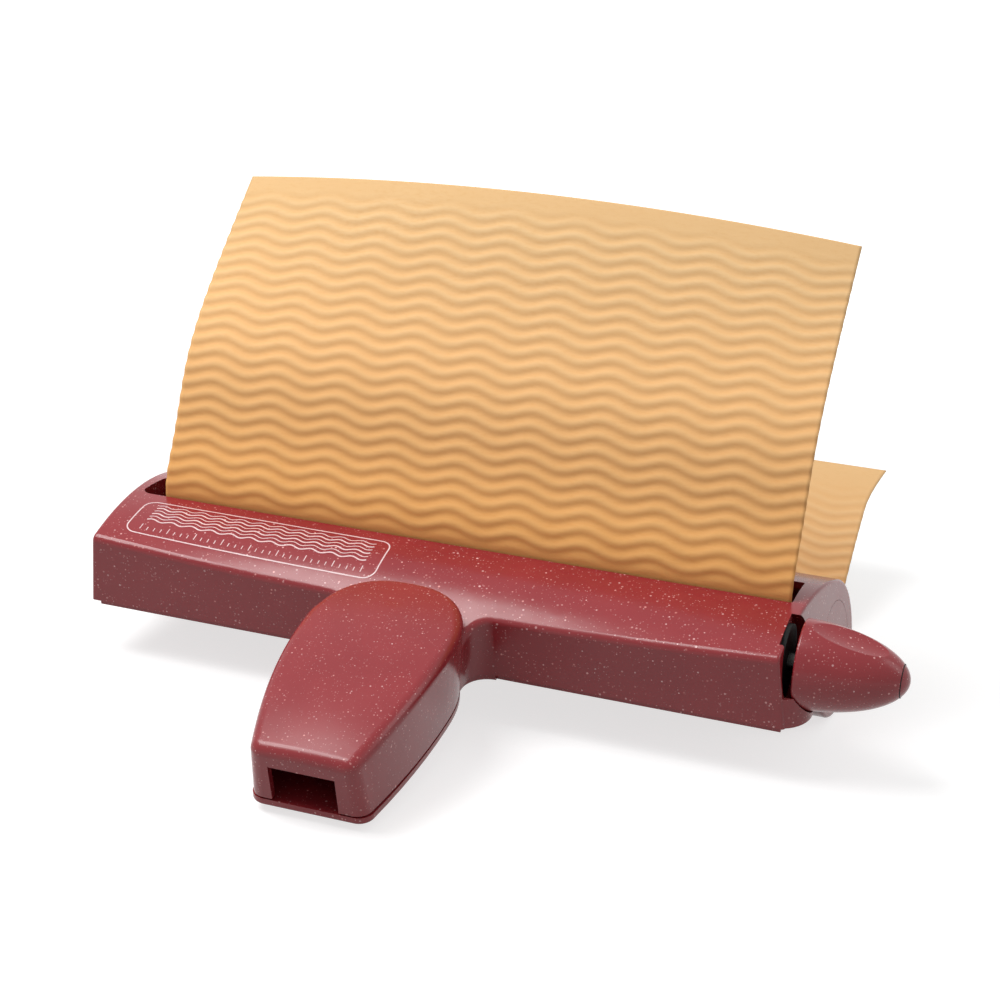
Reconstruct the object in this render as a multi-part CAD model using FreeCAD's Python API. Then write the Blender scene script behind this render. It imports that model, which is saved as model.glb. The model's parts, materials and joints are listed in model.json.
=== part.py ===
import FreeCAD, Part
import math
import os

from FreeCAD import Base

# Hand cranked paper crimper. Millimetres.
#
# Everything is drawn in the tilted frame of the mouldings: X runs along the crossbar, the split
# between the two halves of the tool is the plane Z = 0, and Y = 0 is the crossbar's front wall.
# place() then stands the tool on the bench: it turns about the rear hinge, so that the handle
# runs down to the bench, and puts the origin on the bench straight below the hinge axis.

V = Base.Vector
X_AXIS = V(1, 0, 0)
Z_AXIS = V(0, 0, 1)

# ---------------------------------------------------------------- driving dimensions
HALF_LENGTH = 118.0        # crossbar, centre to end, at the foot of the front wall
END_LEAN = 0.12            # how far each end wall leans in, per mm of height
END_FLARE = 0.06           # how far each end wall runs out, per mm towards the back
WALL = 2.2                 # moulded walls
END_WALL = 2.2             # end walls of the crossbar
FRONT_HEIGHT = 24.8        # front wall above the split, at its ends
FRONT_DIP = 4.8            # how much lower its top edge is in the middle
TOP_RADIUS = 104.0         # the long arc over the top
FRONT_ROUND = 2.4          # edge between front wall and top
END_ROUND = 1.0            # edges of the end walls
HINGE_Y = 57.5
HINGE_Z = -5.5
BARREL_RADIUS = 22.5       # back of the crossbar, round the hinge axis
SKIN_END_DEG = -8.0        # where the upper skin stops at the back, below the hinge axis
TILT_DEG = 9.7             # split plane against the bench
HINGE_HEIGHT = 23.0        # hinge axis above the bench
RUN = 0.5                  # gap between mouldings that turn in each other
FIT = 0.05                 # radial clearance of a running fit

SLOT_FRONT = 30.5          # paper slot in the top
SLOT_BACK = 50.0
SLOT_LEFT_REST = 4.5       # crossbar left beside the slot, at its left end
SLOT_RIGHT_REST = 5.7
SLOT_ROUND = 4.0           # corners at the left end
SLOT_ROUND_SMALL = 0.8     # corners at the right end

DRIVE_Y = 15.5             # drive roller and knob axis
DRIVE_Z = 14.6
NIP_DEG = -37.6            # from the drive axis to the pressure axis
AXIS_DISTANCE = 15.95      # ridges of one roller stand in the valleys of the other
ROLLER_TIP = 8.2
ROLLER_ROOT = 7.0
ROLLER_FLUTES = 10
SHAFT_RADIUS = 3.0
BUSH_RADIUS = 4.6
BUSH_LENGTH = 4.0
BUSH_INSIDE = 2.6          # how far the right bush stands into the crossbar
FLANGE_RADIUS = 11.4       # outer collar of the right bush, behind the knob
FLANGE = 1.5
POST = 2.4                 # posts of the lower half that hold the pressure roller
POST_FRONT = 7.0           # how far each post reaches from the pressure axis
POST_BACK = 12.0
POST_TOP = 7.0
POST_CLEARANCE = 5.2       # round the drive bush
WASHER = 0.4

KNOB_RADIUS = 13.9         # the knob is half an ellipsoid
KNOB_LENGTH = 33.3
KNOB_GAP = 0.7             # from the crossbar's end to the knob's base
KNOB_BASE_ROUND = 0.8
KNOB_SCALLOPS = 2          # leaf-shaped hollows for thumb and finger
SCALLOP_X = 15.6           # middle of a hollow, from the knob's base
SCALLOP_DEPTH = 1.7
SCALLOP_ACROSS = 22.6      # its radius across the knob
SCALLOP_ALONG = 167.0      # and along it
KNOB_CAP_RADIUS = 5.1
KNOB_CAP_FLOOR = 27.6      # bottom of the cap's seat, from the base
KNOB_CAP_GAP = 0.12
KNOB_BORE = 20.0           # how deep the shaft goes into the knob
KNOB_WEB = 1.5             # web between the shaft's end and the screw's head
SPRING_ROOM = 9.0          # how far each hinge pin stands into the barrel
NOTCH_RADIUS = 14.3        # round recess in the crossbar's end, about the knob
NOTCH_WALL = 1.0           # end wall left behind it
LIP_OUT = 6.4              # how far the lip round the knob's lower front stands out
LIP_HEIGHT = 10.5
LIP_ROUND = 10.5
LIP_BACK = 42.0
LIP_ROOT = 6.0             # how far the lip starts inside the end wall

HINGE_CAP_RADIUS = 16.0
HINGE_CAP_GAP = 0.15
HINGE_CAP_DEPTH = 1.2
HINGE_PIN_RADIUS = 5.0

HANDLE_X = -2.5            # handle's centre line
HANDLE_TIP_Y = -80.3       # at the split
HANDLE_OVERHANG = 0.118    # how far the tip runs out, per mm of height
HANDLE_WIDE_Y = -29.0      # where the handle is widest
HANDLE_BACK_Y = 2.3
HANDLE_HALF_WIDE = 22.9    # half width there, at the split
HANDLE_WIDEN = 0.08        # and how much it gains per mm of height
HANDLE_HALF_TIP = 17.7     # half width where the side meets the tip, at the split
HANDLE_NARROW = 0.09       # and how much it loses per mm of height
HANDLE_CORNER = 4.5
HANDLE_BACK_POWER = 2.5    # fullness of the rounded back, 2 is an ellipse
HANDLE_HEIGHT = 34.0       # height that the handle's sides are drawn to
NECK_HALF = 20.8           # neck between crossbar and handle
NECK_FILLET = 7.0
NECK_DEPTH = 18.0          # how far the neck runs into the handle
NECK_ROOM = 12.5           # height of the way through the neck
PALM_CREST_Y = -12.0       # top of the palm rest's dome
PALM_CREST_Z = 28.8
PALM_RADIUS = 260.0
PALM_THICKNESS = 4.0
PALM_EDGE = 3.6
PALM_SCREW_YS = (-24.0, -58.0)
POCKET_X = -3.1
POCKET_HALF_WIDTH = 10.4
POCKET_HEIGHT = 12.3

FLOOR_TOP = -0.6           # lower half: its floor lies this far under the split
FLOOR_THICKNESS = 2.4
FLOOR_REACH = 1.6          # its ends lie this far inside the crossbar's foot
FLOOR_BACK = 33.0          # how far back its ends run under the end walls
PLATE_OUT = 0.3            # how far the handle's plate stands out under the handle
PLATE_ROUND = 0.9
PLATE_NECK_INSET = 1.2     # how far its neck lies inside the upper half's
TROUGH_GAP = 1.4           # between the pressure roller and its trough
EXIT_FROM_DEG = -60.0      # paper exit at the back of the lower barrel
EXIT_TO_DEG = -28.0
ENTRY_FROM_DEG = 176.0     # where the sheet comes into the barrel from the rollers
ENTRY_TO_DEG = 196.0
SHEET_X = 3.9              # centre of the sheet
SHEET_WIDTH = 215.9
SHEET_THICKNESS = 1.2      # over its ridges
SEAT_GAP = 0.3
# Back face of the sheet above the slot, Y and Z in the mouldings' frame.
FRONT_SHEET_PATH = [
    (SLOT_FRONT + SEAT_GAP + SHEET_THICKNESS, 20.5),
    (SLOT_FRONT + SEAT_GAP + SHEET_THICKNESS, 27.0),
    (40.0, 42.5), (54.0, 65.5), (80.0, 89.0), (113.0, 111.3),
]
# Underside of the sheet behind the tool, Y and Z on the bench, Y counted from the hinge axis.
REAR_SHEET_PATH = [
    (11.5, 9.2), (18.0, 7.2), (30.0, 3.6), (48.0, 1.6), (66.0, 5.6), (82.0, 15.5),
    (97.0, 26.0), (113.0, 33.0), (132.0, 38.4),
]
FOOT_RADIUS = 5.0
FOOT_X = 92.0
FOOT_Y = 8.0               # rear feet, in front of and behind the hinge axis
FOOT_HEIGHT = 14.0         # more than the room under the barrel
TIP_FOOT_RADIUS = 7.0
TIP_FOOT_BACK = 15.0       # centre of the tip foot, behind the handle's tip
SPRING_RADIUS = 6.8
SPRING_STRIP = 0.7
SPRING_WIDTH = 7.0
SPRING_WRAP_DEG = 150.0
SCREW_RADIUS = 1.3
SCREW_HEAD = 2.5
SCREW_HEAD_HEIGHT = 1.8
SCREW_HOLE_DEPTH = 9.0
SCREW_COVER = 1.0          # material over a screw's end, and room under it
END_PLAY = 0.3             # gap at the end of a shaft, pin or spacer
WASHER_LIP = 0.8           # how far the washer stands out over the bush
FLUTE_POINTS = 8           # points along each flute's wavy outline
BACK_POINTS = 12           # spans along the handle's rounded back
DIP_STATIONS = (-1.1, -0.55, 0.0, 0.55, 1.1)   # sections of the dipped top, in half lengths
SMALLEST_CORNER = 1.0
RING_END_DEG = 370.0       # the lower barrel's wall runs this far round
FAR = 200.0                # longer than any piece, for cutting tools
OVERLAP = 1.0              # how far a cutting tool runs past what it cuts
NEAR = 0.1                 # two places closer than this are the same, in a search for edges

# ---------------------------------------------------------------- derived places
PRESSURE_Y = DRIVE_Y + AXIS_DISTANCE * math.cos(math.radians(NIP_DEG))
PRESSURE_Z = DRIVE_Z + AXIS_DISTANCE * math.sin(math.radians(NIP_DEG))
LOWER_BARREL = BARREL_RADIUS - WALL - RUN
INNER_HALF = HALF_LENGTH - END_LEAN * (FRONT_HEIGHT + 2.0) - END_WALL
NOTCH_FLOOR_X = INNER_HALF + NOTCH_WALL
KNOB_BASE_X = HALF_LENGTH + KNOB_GAP
LIP_REACH = HALF_LENGTH + LIP_OUT
SLOT_LEFT = SLOT_LEFT_REST - HALF_LENGTH
SLOT_RIGHT = HALF_LENGTH - SLOT_RIGHT_REST
FRONT_MIDDLE = FRONT_HEIGHT - FRONT_DIP
POST_INNER = INNER_HALF - RUN - POST
ROLLER_LEFT = -POST_INNER + RUN
ROLLER_RIGHT = POST_INNER - RUN
TROUGH_INNER = ROLLER_TIP + TROUGH_GAP


def end_x(y, z):
    """Outer end wall's distance from the middle."""
    return HALF_LENGTH - END_LEAN * z + END_FLARE * y


# ---------------------------------------------------------------- small helpers
def box(x0, x1, y0, y1, z0, z1):
    return Part.makeBox(x1 - x0, y1 - y0, z1 - z0, V(x0, y0, z0))


def rod(radius, x0, x1, y, z):
    """Cylinder along X."""
    return Part.makeCylinder(radius, x1 - x0, V(x0, y, z), X_AXIS)


def tube(outer, inner, x0, x1, y, z):
    return rod(outer, x0, x1, y, z).cut(rod(inner, x0 - OVERLAP, x1 + OVERLAP, y, z))


def polygon_prism(points, along):
    wire = Part.makePolygon(points + [points[0]])
    return Part.Face(wire).extrude(along)


def polar(radius, degrees, y=HINGE_Y, z=HINGE_Z):
    a = math.radians(degrees)
    return y + radius * math.cos(a), z + radius * math.sin(a)


def sector(inner, outer, start_deg, end_deg, x0, x1, y, z):
    """Part of a ring about an axis along X, from start to end, counted from +Y towards +Z."""
    def at(radius, degrees):
        yy, zz = polar(radius, degrees, y, z)
        return V(x0, yy, zz)
    middle = (start_deg + end_deg) / 2
    wire = Part.Wire([
        Part.Arc(at(outer, start_deg), at(outer, middle), at(outer, end_deg)).toShape(),
        Part.LineSegment(at(outer, end_deg), at(inner, end_deg)).toShape(),
        Part.Arc(at(inner, end_deg), at(inner, middle), at(inner, start_deg)).toShape(),
        Part.LineSegment(at(inner, start_deg), at(outer, start_deg)).toShape(),
    ])
    return Part.Face(wire).extrude(V(x1 - x0, 0, 0))


def envelope(inset):
    """Room between the two leaning end walls."""
    ys = (-FAR / 3, FAR)
    zs = (-FAR / 3, FAR / 3)
    corner = {}
    for side in (-1, 1):
        for y in ys:
            for z in zs:
                corner[side, y, z] = V(side * (end_x(y, z) - inset), y, z)

    def face(*keys):
        points = [corner[k] for k in keys]
        return Part.Face(Part.makePolygon(points + [points[0]]))
    (y0, y1), (z0, z1) = ys, zs
    faces = [face((s, y0, z0), (s, y1, z0), (s, y1, z1), (s, y0, z1)) for s in (-1, 1)]
    faces += [face((-1, y, z0), (1, y, z0), (1, y, z1), (-1, y, z1)) for y in ys]
    faces += [face((-1, y0, z), (1, y0, z), (1, y1, z), (-1, y1, z)) for z in zs]
    return Part.makeSolid(Part.makeShell(faces))


def top_arc_centre():
    """Centre of the top arc: it passes the front edge and runs smoothly into the barrel."""
    r_hinge = TOP_RADIUS - BARREL_RADIUS
    dy, dz = HINGE_Y, HINGE_Z - FRONT_HEIGHT
    gap = math.hypot(dy, dz)
    along = (TOP_RADIUS ** 2 - r_hinge ** 2 + gap ** 2) / (2 * gap)
    off = math.sqrt(TOP_RADIUS ** 2 - along ** 2)
    return along * dy / gap + off * dz / gap, FRONT_HEIGHT + along * dz / gap - off * dy / gap


def top_height(y):
    """Height of the crossbar's long top arc."""
    cy, cz = top_arc_centre()
    return cz + math.sqrt(TOP_RADIUS ** 2 - (y - cy) ** 2)


def front_arc(x):
    """Centre and radius of the top between front wall and slot, where the front edge dips."""
    cy, cz = top_arc_centre()
    front_z = top_height(0.0) - FRONT_DIP * (1 - (x / HALF_LENGTH) ** 2)
    joint_z = top_height(SLOT_FRONT)
    normal = ((SLOT_FRONT - cy) / TOP_RADIUS, (joint_z - cz) / TOP_RADIUS)
    dy, dz = -SLOT_FRONT, front_z - joint_z
    radius = -(dy ** 2 + dz ** 2) / (2 * (dy * normal[0] + dz * normal[1]))
    return SLOT_FRONT - radius * normal[0], joint_z - radius * normal[1], radius


def front_loft(y0, y1):
    """Block that runs past the end walls, from y0 to y1, whose top dips in the middle."""
    def wire(x):
        cy, cz, radius = front_arc(x)

        def on_top(y):
            return V(x, y, cz + math.sqrt(radius ** 2 - (y - cy) ** 2))
        foot0, foot1 = V(x, y0, 0), V(x, y1, 0)
        return Part.Wire([
            Part.LineSegment(foot0, on_top(y0)).toShape(),
            Part.Arc(on_top(y0), on_top((y0 + y1) / 2), on_top(y1)).toShape(),
            Part.LineSegment(on_top(y1), foot1).toShape(),
            Part.LineSegment(foot1, foot0).toShape(),
        ])
    return Part.makeLoft([wire(share * HALF_LENGTH) for share in DIP_STATIONS], True, False)


def section(inset, x0, x1):
    """Crossbar section above the split, closed along the split, with the whole barrel."""
    cy, cz = top_arc_centre()
    radius = TOP_RADIUS - inset
    front_z = cz + math.sqrt(radius ** 2 - (inset - cy) ** 2)
    join_deg = math.degrees(math.atan2(HINGE_Z - cz, HINGE_Y - cy))
    start_deg = math.degrees(math.atan2(front_z - cz, inset - cy))
    middle_deg = (join_deg + start_deg) / 2
    bottom = 0.0 if inset == 0 else -OVERLAP
    f0 = V(x0, inset, bottom)
    f1 = V(x0, inset, front_z)
    mid = V(x0, *polar(radius, middle_deg, cy, cz))
    join = V(x0, *polar(radius, join_deg, cy, cz))
    down = V(x0, HINGE_Y, bottom)
    wire = Part.Wire([
        Part.LineSegment(f0, f1).toShape(),
        Part.Arc(f1, mid, join).toShape(),
        Part.LineSegment(join, down).toShape(),
        Part.LineSegment(down, f0).toShape(),
    ])
    over = Part.Face(wire).extrude(V(x1 - x0, 0, 0))
    barrel = rod(BARREL_RADIUS - inset, x0, x1, HINGE_Y, HINGE_Z)
    return over.fuse(barrel).removeSplitter()


def place(shape):
    """From the mouldings' frame to the bench."""
    out = shape.copy()
    out.translate(V(0, -HINGE_Y, -HINGE_Z))
    out.rotate(V(0, 0, 0), X_AXIS, TILT_DEG)
    out.translate(V(0, 0, HINGE_HEIGHT))
    return out


# ---------------------------------------------------------------- handle
def handle_outline(inset, z):
    """Plan of the handle at a height: arcs for the tip, its corners and the sides, full back."""
    half_wide = HANDLE_HALF_WIDE + HANDLE_WIDEN * z - inset
    half_tip = HANDLE_HALF_TIP - HANDLE_NARROW * z - inset
    tip = HANDLE_TIP_Y - HANDLE_OVERHANG * z + inset
    back = HANDLE_BACK_Y - inset
    length = HANDLE_WIDE_Y - tip
    drop = half_wide - half_tip
    side_radius = (length ** 2 + drop ** 2) / (2 * drop)
    side_x = half_wide - side_radius
    r = max(HANDLE_CORNER - inset, SMALLEST_CORNER)
    corner_x = side_x + math.sqrt((side_radius - r) ** 2 - (length - r) ** 2)
    lean = math.asin((length - r) / (side_radius - r))
    bisector = (math.pi / 2 + lean) / 2

    def at(side, x, y):
        return V(HANDLE_X + side * x, y, z)

    def side_edges(side):
        """Corner arc and side arc, from the tip to the widest place."""
        tip_end = at(side, corner_x, tip)
        corner_mid = at(side, corner_x + r * math.cos(bisector), tip + r - r * math.sin(bisector))
        corner_end = at(side, side_x + side_radius * math.cos(lean),
                        HANDLE_WIDE_Y - side_radius * math.sin(lean))
        side_mid = at(side, side_x + side_radius * math.cos(lean / 2),
                      HANDLE_WIDE_Y - side_radius * math.sin(lean / 2))
        wide = at(side, half_wide, HANDLE_WIDE_Y)
        return [(tip_end, corner_mid, corner_end), (corner_end, side_mid, wide)]

    power = 2 / HANDLE_BACK_POWER
    round_back = []
    for i in range(BACK_POINTS + 1):
        t = math.pi * i / BACK_POINTS
        x = math.copysign(abs(math.cos(t)) ** power, math.cos(t)) * half_wide
        y = HANDLE_WIDE_Y + (back - HANDLE_WIDE_Y) * abs(math.sin(t)) ** power
        round_back.append(at(1, x, y))
    curve = Part.BSplineCurve()
    curve.interpolate(Points=round_back, InitialTangent=V(0, 1, 0), FinalTangent=V(0, -1, 0))
    right = [Part.Arc(*points).toShape() for points in side_edges(1)]
    left = [Part.Arc(*reversed(points)).toShape() for points in reversed(side_edges(-1))]
    tip_line = Part.LineSegment(at(-1, corner_x, tip), at(1, corner_x, tip)).toShape()
    return Part.Wire(right + [curve.toShape()] + left + [tip_line])


def handle_block(inset):
    """The handle from the split up, past its top."""
    return Part.makeLoft([handle_outline(inset, 0.0), handle_outline(inset, HANDLE_HEIGHT)],
                         True, True)


def dome(depth):
    """Ball whose upper side lies a depth under the palm rest's top."""
    return Part.makeSphere(PALM_RADIUS - depth,
                           V(HANDLE_X, PALM_CREST_Y, PALM_CREST_Z - PALM_RADIUS))


def on_dome(shape, y):
    """Move a shape drawn under the origin to the palm rest's top, square to it."""
    out = shape.copy()
    out.translate(V(HANDLE_X, PALM_CREST_Y, PALM_CREST_Z))
    lean = math.degrees(math.asin((y - PALM_CREST_Y) / PALM_RADIUS))
    out.rotate(V(HANDLE_X, PALM_CREST_Y, PALM_CREST_Z - PALM_RADIUS), X_AXIS, -lean)
    return out


def neck_block(inset, bottom, top):
    """Neck between crossbar and handle, with a concave round on each side."""
    half = NECK_HALF - inset
    r = NECK_FILLET + inset
    bend = r * (1 - math.sqrt(0.5))
    back = WALL + RUN + OVERLAP

    def at(side, x, y):
        return V(HANDLE_X + side * x, y, bottom)

    def side_points(side):
        return (at(side, half, inset - r), at(side, half + bend, inset - bend),
                at(side, half + r, inset))
    right, left = side_points(1), side_points(-1)
    corners = [left[2], at(-1, half + r, back), at(1, half + r, back), right[2]]
    front = [right[0], at(1, half, -NECK_DEPTH), at(-1, half, -NECK_DEPTH), left[0]]
    edges = [Part.LineSegment(a, b).toShape() for a, b in zip(corners, corners[1:])]
    edges.append(Part.Arc(*reversed(right)).toShape())
    edges += [Part.LineSegment(a, b).toShape() for a, b in zip(front, front[1:])]
    edges.append(Part.Arc(*left).toShape())
    return Part.Face(Part.Wire(edges)).extrude(V(0, 0, top - bottom))


# ---------------------------------------------------------------- upper half
def middle_of(edge):
    return edge.valueAt((edge.FirstParameter + edge.LastParameter) / 2)


def is_front_edge(edge):
    """Edge between the top and the front wall or the neck's sides."""
    middle = middle_of(edge)
    level = abs(edge.Vertexes[0].Z - edge.Vertexes[-1].Z) < FRONT_MIDDLE / 2
    return level and middle.z > 1.0 and -NECK_DEPTH + NEAR < middle.y < NEAR


def is_end_edge(edge):
    """Edge of an end wall, apart from the one along the split."""
    middle = middle_of(edge)
    on_end = abs(abs(middle.x) - end_x(middle.y, middle.z)) < NEAR / 10
    return on_end and (middle.z > NEAR or middle.y > HINGE_Y)


def crossbar_block():
    """Crossbar and neck as one block with rounded edges."""
    back = section(0.0, -FAR, FAR).cut(box(-FAR, FAR, -FAR, SLOT_FRONT, -FAR, FAR))
    barrel = rod(BARREL_RADIUS, -FAR, FAR, HINGE_Y, HINGE_Z)
    plan = box(-FAR, FAR, 0, SLOT_FRONT, 0, FAR).fuse(neck_block(0.0, 0.0, FAR))
    front = front_loft(-NECK_DEPTH, SLOT_FRONT).common(plan.removeSplitter())
    block = back.fuse(front).fuse(barrel).removeSplitter().common(envelope(0.0))
    block = block.makeFillet(FRONT_ROUND, [e for e in block.Edges if is_front_edge(e)])
    return block.makeFillet(END_ROUND, [e for e in block.Edges if is_end_edge(e)])


def lip_block():
    """Lip of the crossbar's right end, round the knob's lower front."""
    root = NOTCH_FLOOR_X - LIP_ROOT
    back_x = end_x(LIP_BACK, 0)
    bend = LIP_ROUND * (1 - math.sqrt(0.5))
    start = V(LIP_REACH - LIP_ROUND, 0, 0)
    end = V(LIP_REACH, LIP_ROUND, 0)
    corners = [end, V(back_x, LIP_BACK, 0), V(root, LIP_BACK, 0), V(root, 0, 0), start]
    edges = [Part.Arc(start, V(LIP_REACH - bend, bend, 0), end).toShape()]
    edges += [Part.LineSegment(a, b).toShape() for a, b in zip(corners, corners[1:])]
    return Part.Face(Part.Wire(edges)).extrude(V(0, 0, LIP_HEIGHT))


def slot_tool():
    """Cutter for the paper slot, with rounded corners."""
    slot = box(SLOT_LEFT, SLOT_RIGHT, SLOT_FRONT, SLOT_BACK, FRONT_HEIGHT / 3, FAR / 3)
    for radius, at_left in ((SLOT_ROUND, True), (SLOT_ROUND_SMALL, False)):
        corners = [e for e in slot.Edges
                   if abs(e.tangentAt(e.FirstParameter).z) > 1 - NEAR
                   and (e.CenterOfMass.x < SLOT_LEFT + NEAR if at_left
                        else e.CenterOfMass.x > SLOT_RIGHT - NEAR)]
        slot = slot.makeFillet(radius, corners)
    return slot


def make_upper_shell():
    handle = handle_block(0.0).common(dome(PALM_THICKNESS))
    outer = crossbar_block().fuse(handle).fuse(lip_block()).removeSplitter()

    hollow = section(WALL, -FAR, FAR).common(envelope(END_WALL))
    hollow = hollow.common(box(-INNER_HALF, INNER_HALF, -FAR, FAR, -FAR, FAR))
    cy, cz, radius = front_arc(0.0)
    front = box(-INNER_HALF, INNER_HALF, -FAR, SLOT_FRONT, -FAR, FAR)
    hollow = hollow.cut(front.cut(rod(radius - WALL, -FAR, FAR, cy, cz)))
    inner_handle = handle_block(WALL).common(dome(PALM_THICKNESS + WALL))
    open_foot = Part.Face(handle_outline(WALL, -OVERLAP)).extrude(V(0, 0, 2 * OVERLAP))
    inner_handle = inner_handle.fuse(open_foot)
    inner_handle = inner_handle.fuse(neck_block(WALL, -OVERLAP, NECK_ROOM))
    below = box(-INNER_HALF, INNER_HALF, -FAR, HINGE_Y, -FAR, 0)
    back = polygon_prism(
        [V(-INNER_HALF, HINGE_Y, HINGE_Z), V(-INNER_HALF, *polar(3 * BARREL_RADIUS, SKIN_END_DEG)),
         V(-INNER_HALF, HINGE_Y + 3 * BARREL_RADIUS, -FAR), V(-INNER_HALF, HINGE_Y, -FAR)],
        V(2 * INNER_HALF, 0, 0))
    shell = outer.cut(hollow).cut(inner_handle).cut(below).cut(back)

    pocket = box(POCKET_X - POCKET_HALF_WIDTH, POCKET_X + POCKET_HALF_WIDTH,
                 HANDLE_TIP_Y - 2 * WALL, HANDLE_TIP_Y + 2 * WALL, -OVERLAP, POCKET_HEIGHT)
    notch = rod(NOTCH_RADIUS, NOTCH_FLOOR_X, FAR, DRIVE_Y, DRIVE_Z)
    shell = shell.cut(slot_tool()).cut(pocket).cut(notch)
    for side in (-1, 1):
        x0, x1 = sorted((side * (INNER_HALF - OVERLAP), side * FAR))
        bush0, bush1 = drive_bush_span(side)
        shell = shell.cut(rod(BUSH_RADIUS, bush0, bush1, DRIVE_Y, DRIVE_Z))
        shell = shell.cut(rod(HINGE_PIN_RADIUS, x0, x1, HINGE_Y, HINGE_Z))
        shell = shell.cut(cap_room(side))
    return shell.cut(palm_screws()).removeSplitter()


def drive_bush_span(side):
    """The right bush ends at the knob's recess; the left one sits in a blind hole."""
    if side > 0:
        return INNER_HALF - BUSH_INSIDE, NOTCH_FLOOR_X
    return -INNER_HALF - BUSH_LENGTH, -INNER_HALF


def cap_room(side):
    """Shallow seat for a hinge cap, square to the leaning end wall."""
    disc = Part.makeCylinder(HINGE_CAP_RADIUS, HINGE_CAP_DEPTH + OVERLAP,
                             V(0, 0, -HINGE_CAP_DEPTH))
    return on_end_wall(disc, side)


def on_end_wall(shape, side):
    """Move a shape drawn on its Z axis to the hinge's place on an end wall, facing out."""
    normal = V(side, -END_FLARE, END_LEAN)
    out = shape.copy()
    turn = Base.Rotation(Z_AXIS, normal)
    out.Placement = Base.Placement(V(side * end_x(HINGE_Y, HINGE_Z), HINGE_Y, HINGE_Z), turn)
    return out


def make_hinge_cap(side):
    disc = Part.makeCylinder(HINGE_CAP_RADIUS - HINGE_CAP_GAP, HINGE_CAP_DEPTH,
                             V(0, 0, -HINGE_CAP_DEPTH))
    return on_end_wall(disc, side)


def make_palm_rest():
    """Domed top of the handle, flush with its sides."""
    cap = handle_block(0.0).common(dome(0.0))
    rim = [e for e in cap.Edges if e.BoundBox.ZMin > FRONT_HEIGHT / 2]
    cap = cap.makeFillet(PALM_EDGE, rim)
    cap = cap.cut(dome(PALM_THICKNESS)).cut(front_loft(0.0, SLOT_FRONT))
    return cap.cut(palm_screws())


def palm_screws():
    """Two screws up through the handle's deck into the palm rest."""
    under = -PALM_THICKNESS - WALL
    shank = Part.makeCylinder(SCREW_RADIUS, PALM_THICKNESS + WALL - SCREW_COVER, V(0, 0, under))
    head = Part.makeCylinder(SCREW_HEAD, SCREW_HEAD_HEIGHT, V(0, 0, under - SCREW_HEAD_HEIGHT))
    screw = shank.fuse(head).removeSplitter()
    return Part.makeCompound([on_dome(screw, y) for y in PALM_SCREW_YS])


def make_bush(x0, x1, y, z):
    return tube(BUSH_RADIUS, SHAFT_RADIUS + FIT, x0, x1, y, z)


def make_right_bush():
    """Drive bush with a collar that covers the end wall behind the knob."""
    x0, x1 = drive_bush_span(1)
    collar = tube(FLANGE_RADIUS, SHAFT_RADIUS + FIT, x1, x1 + FLANGE, DRIVE_Y, DRIVE_Z)
    return make_bush(x0, x1, DRIVE_Y, DRIVE_Z).fuse(collar).removeSplitter()


# ---------------------------------------------------------------- lower half
def handle_plate():
    """Lower half of the handle: a plate that stands out a little under the upper half."""
    foot = FLOOR_TOP - FLOOR_THICKNESS
    plate = Part.Face(handle_outline(-PLATE_OUT, foot)).extrude(V(0, 0, FLOOR_THICKNESS))
    plate = plate.fuse(neck_block(PLATE_NECK_INSET, foot, FLOOR_TOP)).removeSplitter()
    under = [e for e in plate.Edges
             if e.BoundBox.ZMax < foot + NEAR and e.BoundBox.YMax < HANDLE_BACK_Y]
    return plate.makeFillet(PLATE_ROUND, under)


def post_block(side, x0, x1):
    """Post that carries one end of the pressure roller."""
    post = box(x0, x1, PRESSURE_Y - POST_FRONT, PRESSURE_Y + POST_BACK,
               FLOOR_TOP - FLOOR_THICKNESS, PRESSURE_Z + POST_TOP)
    return post.cut(rod(BUSH_RADIUS + POST_CLEARANCE, -FAR, FAR, DRIVE_Y, DRIVE_Z))


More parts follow.
